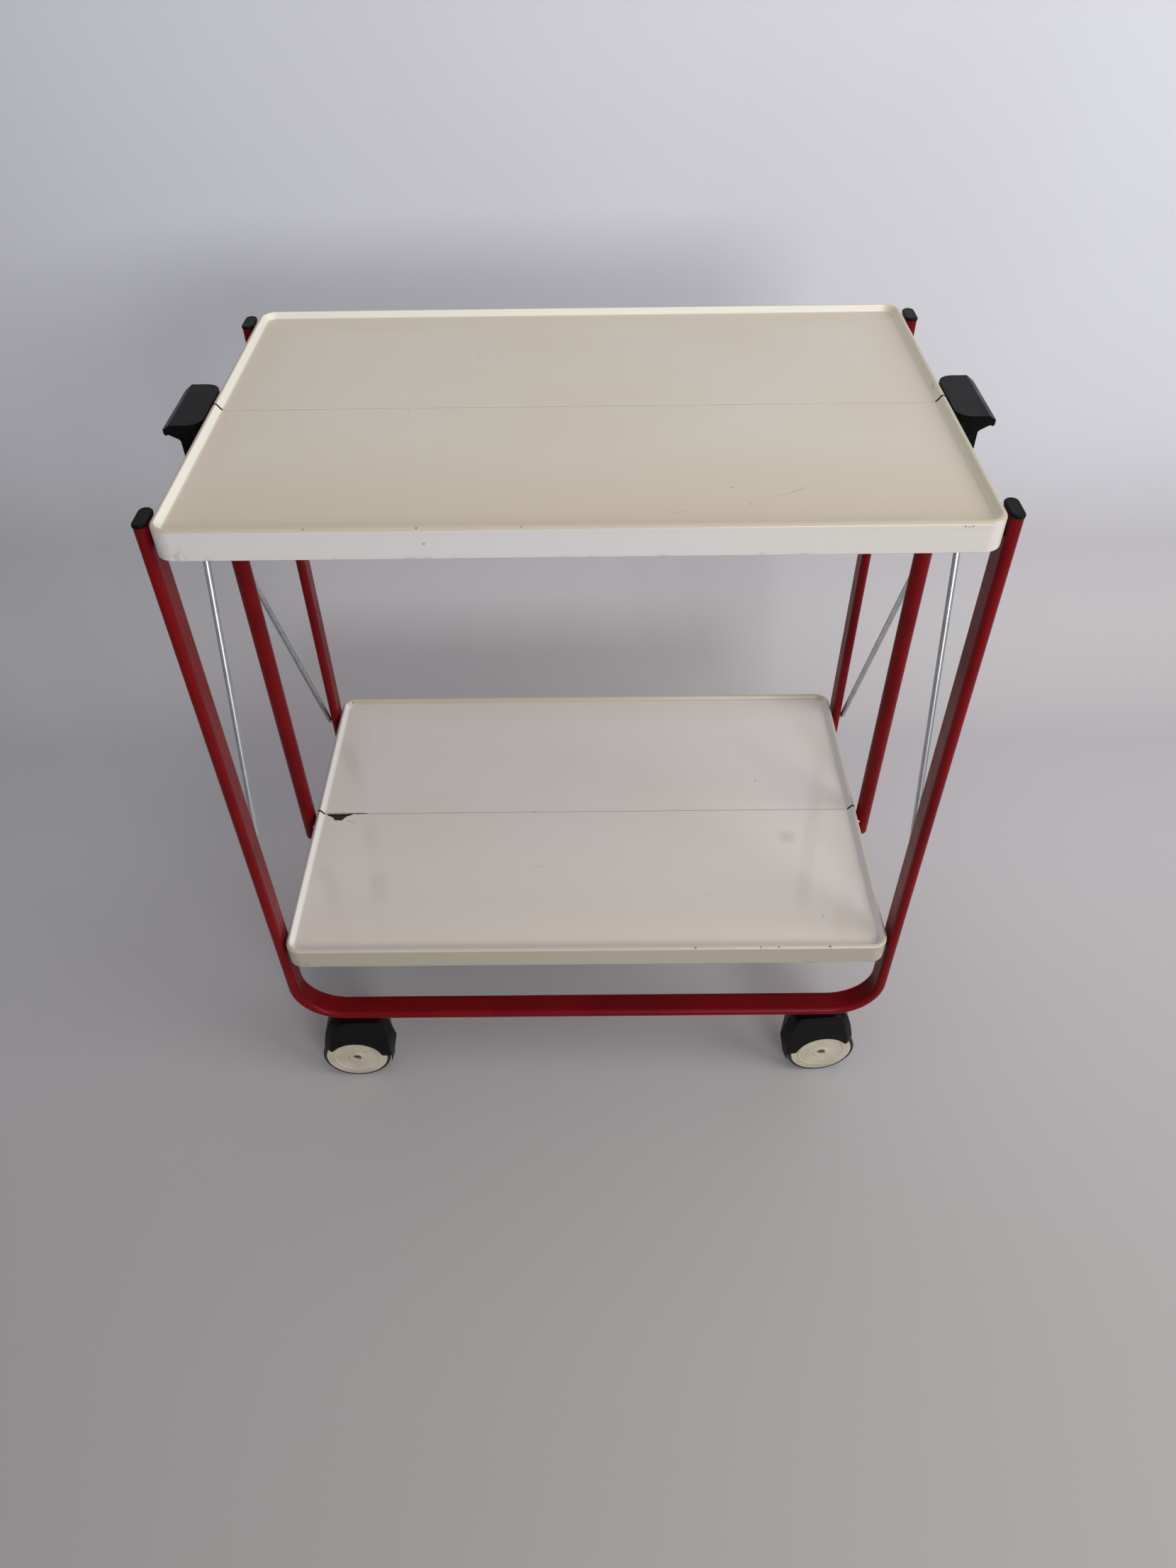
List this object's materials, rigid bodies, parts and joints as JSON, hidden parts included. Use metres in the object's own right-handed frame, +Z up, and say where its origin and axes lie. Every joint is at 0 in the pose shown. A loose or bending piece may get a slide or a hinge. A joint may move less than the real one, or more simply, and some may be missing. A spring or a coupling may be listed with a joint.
{
  "type": "folding serving table",
  "caption": "Folding serving trolley: split upper and lower trays between U-shaped oval-tube frames on twin-wheel casters, folded by pulling up side handles.",
  "frame": {"origin": "on the floor under the middle of the trays", "axes": "+X to the right along the trays, +Y away from the front, +Z up; shown open"},
  "size_m": [0.675, 0.396, 0.7217],
  "materials": {
    "red_paint": "semi-gloss paint",
    "ivory_plastic": "aged ivory, satin",
    "white_plastic": "off-white, satin",
    "black_plastic": "satin black",
    "zinc_steel": "zinc plated, a little rust",
    "black_rubber": "matte",
    "cream_plastic": "cream",
    "brass": "dull"
  },
  "bodies": {
    "posts": {"post_left": "red_paint", "post_right": "red_paint", "handle_left": "black_plastic", "handle_right": "black_plastic", "post_pin_top_front_left": "zinc_steel", "post_pin_top_front_right": "zinc_steel", "post_pin_top_back_left": "zinc_steel", "post_pin_top_back_right": "zinc_steel", "post_pin_bottom_front_left": "zinc_steel", "post_pin_bottom_front_right": "zinc_steel", "post_pin_bottom_back_left": "zinc_steel", "post_pin_bottom_back_right": "zinc_steel"},
    "top_front_half": {"top_tray_front": "ivory_plastic"},
    "top_back_half": {"top_tray_back": "ivory_plastic"},
    "bottom_front_half": {"bottom_tray_front": "white_plastic"},
    "bottom_back_half": {"bottom_tray_back": "white_plastic"},
    "front_legs": {"front_frame": "red_paint", "front_cap_left": "black_plastic", "front_cap_right": "black_plastic", "leg_pin_top_front_left": "zinc_steel", "leg_pin_top_front_right": "zinc_steel", "leg_pin_bottom_front_left": "zinc_steel", "leg_pin_bottom_front_right": "zinc_steel"},
    "rod_front_left": {"stay_rod_front_left": "zinc_steel"},
    "rod_front_right": {"stay_rod_front_right": "zinc_steel"},
    "back_legs": {"back_frame": "red_paint", "back_cap_left": "black_plastic", "back_cap_right": "black_plastic", "leg_pin_top_back_left": "zinc_steel", "leg_pin_top_back_right": "zinc_steel", "leg_pin_bottom_back_left": "zinc_steel", "leg_pin_bottom_back_right": "zinc_steel"},
    "rod_back_left": {"stay_rod_back_left": "zinc_steel"},
    "rod_back_right": {"stay_rod_back_right": "zinc_steel"},
    "slider_left": {"rod_slider_left": "black_plastic"},
    "slider_right": {"rod_slider_right": "black_plastic"},
    "caster_front_left_fork": {"caster_front_left_hood": "black_plastic"},
    "caster_front_left_wheels": {"caster_front_left_axle": "brass", "caster_front_left_tyre_a": "black_rubber", "caster_front_left_tyre_b": "black_rubber", "caster_front_left_disc_a": "cream_plastic", "caster_front_left_disc_b": "cream_plastic"},
    "caster_front_right_fork": {"caster_front_right_hood": "black_plastic"},
    "caster_front_right_wheels": {"caster_front_right_axle": "brass", "caster_front_right_tyre_a": "black_rubber", "caster_front_right_tyre_b": "black_rubber", "caster_front_right_disc_a": "cream_plastic", "caster_front_right_disc_b": "cream_plastic"},
    "caster_back_left_fork": {"caster_back_left_hood": "black_plastic"},
    "caster_back_left_wheels": {"caster_back_left_axle": "brass", "caster_back_left_tyre_a": "black_rubber", "caster_back_left_tyre_b": "black_rubber", "caster_back_left_disc_a": "cream_plastic", "caster_back_left_disc_b": "cream_plastic"},
    "caster_back_right_fork": {"caster_back_right_hood": "black_plastic"},
    "caster_back_right_wheels": {"caster_back_right_axle": "brass", "caster_back_right_tyre_a": "black_rubber", "caster_back_right_tyre_b": "black_rubber", "caster_back_right_disc_a": "cream_plastic", "caster_back_right_disc_b": "cream_plastic"}
  },
  "joints": [
    {"name": "fold", "type": "hinge", "parent": "posts", "child": "top_front_half", "pos_m": [0, -0.005, 0.7019], "axis": [1, 0, 0], "range_deg": [0, 78]},
    {"name": "top_back_fold", "type": "hinge", "parent": "posts", "child": "top_back_half", "pos_m": [0, 0.005, 0.7019], "axis": [1, 0, 0], "range_deg": [-78, 0]},
    {"name": "bottom_front_fold", "type": "hinge", "parent": "posts", "child": "bottom_front_half", "pos_m": [0, -0.005, 0.2242], "axis": [1, 0, 0], "range_deg": [0, 78]},
    {"name": "bottom_back_fold", "type": "hinge", "parent": "posts", "child": "bottom_back_half", "pos_m": [0, 0.005, 0.2242], "axis": [1, 0, 0], "range_deg": [-78, 0]},
    {"name": "front_legs_hinge", "type": "hinge", "parent": "top_front_half", "child": "front_legs", "pos_m": [0, -0.1753, 0.7019], "axis": [1, 0, 0], "range_deg": [-78, 0]},
    {"name": "rod_front_left_hinge", "type": "hinge", "parent": "front_legs", "child": "rod_front_left", "pos_m": [-0.318, -0.17, 0.231], "axis": [1, 0, 0], "range_deg": [0, 18]},
    {"name": "rod_front_right_hinge", "type": "hinge", "parent": "front_legs", "child": "rod_front_right", "pos_m": [0.318, -0.17, 0.231], "axis": [1, 0, 0], "range_deg": [0, 18]},
    {"name": "back_legs_hinge", "type": "hinge", "parent": "top_back_half", "child": "back_legs", "pos_m": [0, 0.1753, 0.7019], "axis": [1, 0, 0], "range_deg": [0, 78]},
    {"name": "rod_back_left_hinge", "type": "hinge", "parent": "back_legs", "child": "rod_back_left", "pos_m": [-0.318, 0.17, 0.231], "axis": [1, 0, 0], "range_deg": [-18, 0]},
    {"name": "rod_back_right_hinge", "type": "hinge", "parent": "back_legs", "child": "rod_back_right", "pos_m": [0.318, 0.17, 0.231], "axis": [1, 0, 0], "range_deg": [-18, 0]},
    {"name": "slider_left_slide", "type": "slide", "parent": "posts", "child": "slider_left", "axis": [0, 0, -1], "range_m": [0, 0.138]},
    {"name": "slider_right_slide", "type": "slide", "parent": "posts", "child": "slider_right", "axis": [0, 0, -1], "range_m": [0, 0.138]},
    {"name": "caster_front_left_swivel", "type": "hinge", "parent": "front_legs", "child": "caster_front_left_fork", "pos_m": [-0.244, -0.1753, 0.1075], "axis": [0, 0, 1], "continuous": true},
    {"name": "caster_front_left_spin", "type": "hinge", "parent": "caster_front_left_fork", "child": "caster_front_left_wheels", "pos_m": [-0.26199, -0.17602, 0.0375], "axis": [0.0401, -0.9992, 0], "continuous": true},
    {"name": "caster_front_right_swivel", "type": "hinge", "parent": "front_legs", "child": "caster_front_right_fork", "pos_m": [0.244, -0.1753, 0.1075], "axis": [0, 0, 1], "continuous": true},
    {"name": "caster_front_right_spin", "type": "hinge", "parent": "caster_front_right_fork", "child": "caster_front_right_wheels", "pos_m": [0.26194, -0.17389, 0.0375], "axis": [-0.0785, 0.9969, 0], "continuous": true},
    {"name": "caster_back_left_swivel", "type": "hinge", "parent": "back_legs", "child": "caster_back_left_fork", "pos_m": [-0.244, 0.1753, 0.1075], "axis": [0, 0, 1], "continuous": true},
    {"name": "caster_back_left_spin", "type": "hinge", "parent": "caster_back_left_fork", "child": "caster_back_left_wheels", "pos_m": [-0.26196, 0.17656, 0.0375], "axis": [-0.0698, -0.9976, 0], "continuous": true},
    {"name": "caster_back_right_swivel", "type": "hinge", "parent": "back_legs", "child": "caster_back_right_fork", "pos_m": [0.244, 0.1753, 0.1075], "axis": [0, 0, 1], "continuous": true},
    {"name": "caster_back_right_spin", "type": "hinge", "parent": "caster_back_right_fork", "child": "caster_back_right_wheels", "pos_m": [0.26198, 0.17436, 0.0375], "axis": [0.0523, 0.9986, 0], "continuous": true}
  ],
  "couplings": [
    {"joint": "top_back_fold", "follows": "fold", "ratio": -1},
    {"joint": "bottom_front_fold", "follows": "fold", "ratio": 1},
    {"joint": "bottom_back_fold", "follows": "fold", "ratio": -1},
    {"joint": "front_legs_hinge", "follows": "fold", "ratio": -1},
    {"joint": "rod_front_left_hinge", "follows": "fold", "ratio": 0.22916},
    {"joint": "rod_front_right_hinge", "follows": "fold", "ratio": 0.22916},
    {"joint": "back_legs_hinge", "follows": "fold", "ratio": 1},
    {"joint": "rod_back_left_hinge", "follows": "fold", "ratio": -0.22916},
    {"joint": "rod_back_right_hinge", "follows": "fold", "ratio": -0.22916},
    {"joint": "slider_left_slide", "follows": "fold", "m_per_rad": 0.10052},
    {"joint": "slider_right_slide", "follows": "fold", "m_per_rad": 0.10052}
  ]
}
